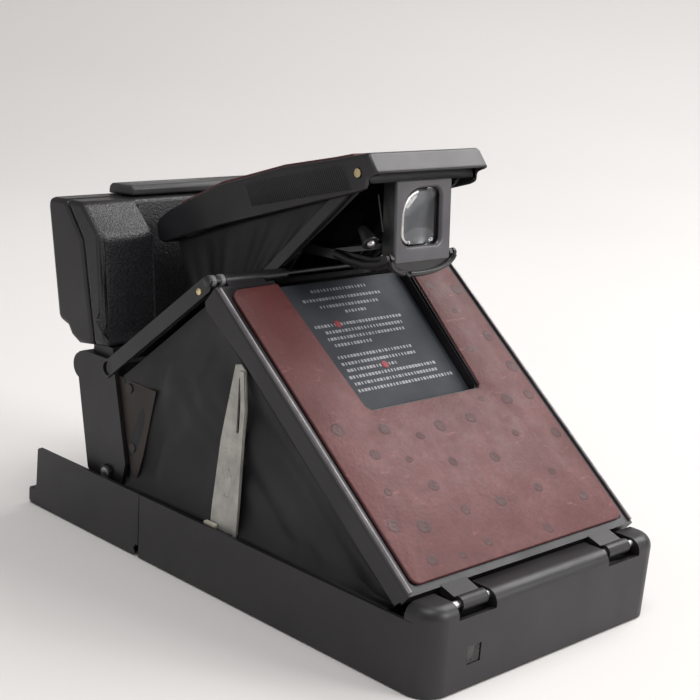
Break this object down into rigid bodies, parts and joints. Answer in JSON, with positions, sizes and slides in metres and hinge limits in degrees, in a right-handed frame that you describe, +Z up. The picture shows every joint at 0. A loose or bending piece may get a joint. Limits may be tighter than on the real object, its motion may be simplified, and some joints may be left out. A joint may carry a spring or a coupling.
{
  "type": "folding instant camera",
  "caption": "Folding single-lens reflex instant camera, erected: base with film door, bellows, sloping mirror cover, viewfinder and front board with rangefinder unit.",
  "frame": {"origin": "middle of the base's underside, on the surface it stands on", "axes": "+X to the side with the erecting link, +Y to the rear where the eye goes, +Z up"},
  "size_m": [0.1029, 0.1788, 0.1315],
  "materials": {
    "black_shell": "satin moulded, charcoal black",
    "black_pebble": "fine pebble texture",
    "black_metal": "satin black",
    "brown_leather": "red-brown, quill marks, semi-matt",
    "label_grey": "dark blue-grey, satin",
    "mirror_glass": "first-surface mirror",
    "clear_glass": "polished",
    "steel": "satin",
    "link_metal": "matt, light grey",
    "brass": "polished",
    "rubber": "matt black",
    "grey_plastic": "smooth",
    "white_plastic": "smooth",
    "flex_film": "brown film with copper tracks",
    "circuit_green": "lacquered board",
    "grille_metal": "perforated, satin"
  },
  "bodies": {
    "base": {"base_body": "black_shell", "board_lugs": "black_shell", "bottom_cover": "black_pebble", "base_screws": "steel", "tripod_bush": "brass", "base_hinge_pins": "steel", "counter_window": "clear_glass", "drive_motor": "steel", "film_pack": "grey_plastic", "fixed_axles": "steel", "bellows": "rubber"},
    "mirror_carrier": {"mirror_carrier": "black_metal", "viewing_screen": "mirror_glass"},
    "counter": {"counter_wheel": "white_plastic"},
    "motor_shaft": {"motor_pinion": "brass"},
    "door": {"film_door": "black_shell", "roller_frame": "black_metal"},
    "lower_roller": {"lower_roller": "steel"},
    "upper_roller": {"upper_roller": "steel"},
    "latch": {"door_latch": "grey_plastic"},
    "cover": {"mirror_cover": "black_shell", "leather_panel": "brown_leather", "label_plate": "label_grey", "taking_mirror": "mirror_glass", "cover_hinge_pin": "steel"},
    "front_plate": {"front_plate": "black_metal", "yoke_brackets": "black_metal", "viewfinder_boot": "rubber"},
    "cap": {"viewfinder_cap": "black_shell", "cap_leather": "brown_leather", "cap_pivot_pins": "brass", "concave_mirror": "mirror_glass"},
    "yoke": {"eyepiece_yoke": "black_metal"},
    "eyepiece": {"eyepiece_frame": "black_metal", "eyepiece_lens": "clear_glass"},
    "board": {"housing_front_shell": "black_shell", "housing_rear_shell": "black_shell", "lens_barrel": "black_metal", "lens_glass": "clear_glass", "circuit_board": "circuit_green", "photocell_window": "clear_glass", "upper_front_shell": "black_shell", "upper_rear_shell": "black_pebble", "sonar_disc": "brass", "sonar_grille": "grille_metal", "flash_socket": "grey_plastic", "flex_circuit": "flex_film"},
    "focus_wheel": {"focus_wheel": "black_shell"},
    "exposure_dial": {"exposure_dial": "black_shell"},
    "shutter_button": {"shutter_button": "grey_plastic"},
    "blade_left": {"shutter_blade_left": "black_metal"},
    "blade_right": {"shutter_blade_right": "black_metal"},
    "link": {"erecting_link": "link_metal"},
    "gear_1": {"train_gear_1": "white_plastic"},
    "gear_2": {"train_gear_2": "white_plastic"},
    "gear_3": {"train_gear_3": "white_plastic"},
    "gear_4": {"train_gear_4": "white_plastic"},
    "gear_5": {"train_gear_5": "white_plastic"},
    "gear_6": {"train_gear_6": "white_plastic"},
    "gear_7": {"train_gear_7": "white_plastic"}
  },
  "joints": [
    {"name": "cover_fold", "type": "hinge", "parent": "base", "child": "cover", "pos_m": [0, 0.0855, 0.0232], "axis": [1, 0, 0], "range_deg": [0, 38], "deforming": ["bellows"]},
    {"name": "plate_fold", "type": "hinge", "parent": "cover", "child": "front_plate", "pos_m": [0, -0.006, 0.091], "axis": [1, 0, 0], "range_deg": [-82.61, 0], "deforming": ["viewfinder_boot"]},
    {"name": "cap_fold", "type": "hinge", "parent": "front_plate", "child": "cap", "pos_m": [0, 0.0239, 0.1254], "axis": [1, 0, 0], "range_deg": [0, 20.61]},
    {"name": "yoke_fold", "type": "hinge", "parent": "front_plate", "child": "yoke", "pos_m": [0, -0.0076, 0.0976], "axis": [1, 0, 0], "range_deg": [0, 34.01]},
    {"name": "eyepiece_fold", "type": "hinge", "parent": "yoke", "child": "eyepiece", "pos_m": [0, 0.0284, 0.1012], "axis": [1, 0, 0], "range_deg": [0, 89.01]},
    {"name": "board_fold", "type": "hinge", "parent": "base", "child": "board", "pos_m": [0, -0.0515, 0.0202], "axis": [1, 0, 0], "range_deg": [0, 81.01], "deforming": ["flex_circuit"]},
    {"name": "link_fold", "type": "hinge", "parent": "base", "child": "link", "pos_m": [0.0475, 0.0055, 0.012], "axis": [1, 0, 0], "range_deg": [0, 90.51]},
    {"name": "carrier_flip", "type": "hinge", "parent": "base", "child": "mirror_carrier", "pos_m": [0, 0.072, 0.0122], "axis": [1, 0, 0], "range_deg": [-36, 0], "stiffness_Nm_per_rad": 0.02},
    {"name": "door_open", "type": "hinge", "parent": "base", "child": "door", "pos_m": [0, -0.0316, 0.0022], "axis": [1, 0, 0], "range_deg": [0, 70]},
    {"name": "lower_roller_spin", "type": "hinge", "parent": "door", "child": "lower_roller", "pos_m": [0, -0.0365, 0.0056], "axis": [1, 0, 0], "continuous": true},
    {"name": "upper_roller_spin", "type": "hinge", "parent": "door", "child": "upper_roller", "pos_m": [0, -0.0365, 0.0113], "axis": [1, 0, 0], "continuous": true},
    {"name": "motor_spin", "type": "hinge", "parent": "base", "child": "motor_shaft", "pos_m": [-0.0464, 0.082, 0.0104], "axis": [1, 0, 0], "continuous": true},
    {"name": "counter_spin", "type": "hinge", "parent": "base", "child": "counter", "pos_m": [0.0325, 0.082, 0.0094], "axis": [1, 0, 0], "range_deg": [0, 300]},
    {"name": "latch_slide", "type": "slide", "parent": "base", "child": "latch", "axis": [0, 0, -1], "range_m": [0, 0.0015], "stiffness_N_per_m": 400},
    {"name": "focus_turn", "type": "hinge", "parent": "board", "child": "focus_wheel", "pos_m": [0.03, -0.06527, 0.04441], "axis": [0, -0.9888, -0.1495], "range_deg": [-120, 120]},
    {"name": "exposure_turn", "type": "hinge", "parent": "board", "child": "exposure_dial", "pos_m": [-0.03, -0.0674, 0.0451], "axis": [0, -0.9888, -0.1495], "range_deg": [-75, 75]},
    {"name": "shutter_press", "type": "slide", "parent": "board", "child": "shutter_button", "axis": [0, 0.9888, 0.1495], "range_m": [0, 0.0015], "stiffness_N_per_m": 600},
    {"name": "blade_left_slide", "type": "slide", "parent": "board", "child": "blade_left", "axis": [-1, 0, 0], "range_m": [0, 0.006], "stiffness_N_per_m": 40},
    {"name": "blade_right_slide", "type": "slide", "parent": "board", "child": "blade_right", "axis": [1, 0, 0], "range_m": [0, 0.006]},
    {"name": "gear_7_spin", "type": "hinge", "parent": "base", "child": "gear_7", "pos_m": [-0.0464, -0.0253, 0.0104], "axis": [1, 0, 0], "continuous": true},
    {"name": "gear_6_spin", "type": "hinge", "parent": "base", "child": "gear_6", "pos_m": [-0.0464, -0.0094, 0.0104], "axis": [1, 0, 0], "continuous": true},
    {"name": "gear_5_spin", "type": "hinge", "parent": "base", "child": "gear_5", "pos_m": [-0.0464, 0.0065, 0.0104], "axis": [1, 0, 0], "continuous": true},
    {"name": "gear_4_spin", "type": "hinge", "parent": "base", "child": "gear_4", "pos_m": [-0.0464, 0.0224, 0.0104], "axis": [1, 0, 0], "continuous": true},
    {"name": "gear_3_spin", "type": "hinge", "parent": "base", "child": "gear_3", "pos_m": [-0.0464, 0.0383, 0.0104], "axis": [1, 0, 0], "continuous": true},
    {"name": "gear_2_spin", "type": "hinge", "parent": "base", "child": "gear_2", "pos_m": [-0.0464, 0.0542, 0.0104], "axis": [1, 0, 0], "continuous": true},
    {"name": "gear_1_spin", "type": "hinge", "parent": "base", "child": "gear_1", "pos_m": [-0.0464, 0.0701, 0.0104], "axis": [1, 0, 0], "continuous": true}
  ],
  "couplings": [
    {"joint": "plate_fold", "follows": "cover_fold", "ratio": -2.1737},
    {"joint": "cap_fold", "follows": "cover_fold", "ratio": 0.5421},
    {"joint": "yoke_fold", "follows": "cover_fold", "ratio": 0.89474},
    {"joint": "eyepiece_fold", "follows": "cover_fold", "ratio": 2.3421},
    {"joint": "board_fold", "follows": "cover_fold", "ratio": 2.1316},
    {"joint": "link_fold", "follows": "cover_fold", "ratio": 2.3816},
    {"joint": "upper_roller_spin", "follows": "lower_roller_spin", "ratio": -1},
    {"joint": "blade_right_slide", "follows": "blade_left_slide", "ratio": 1},
    {"joint": "gear_7_spin", "follows": "lower_roller_spin", "ratio": -0.53846},
    {"joint": "gear_6_spin", "follows": "lower_roller_spin", "ratio": 0.53846},
    {"joint": "gear_5_spin", "follows": "lower_roller_spin", "ratio": -0.53846},
    {"joint": "gear_4_spin", "follows": "lower_roller_spin", "ratio": 0.53846},
    {"joint": "gear_3_spin", "follows": "lower_roller_spin", "ratio": -0.53846},
    {"joint": "gear_2_spin", "follows": "lower_roller_spin", "ratio": 0.53846},
    {"joint": "gear_1_spin", "follows": "lower_roller_spin", "ratio": -0.53846},
    {"joint": "motor_spin", "follows": "lower_roller_spin", "ratio": 1.4}
  ]
}
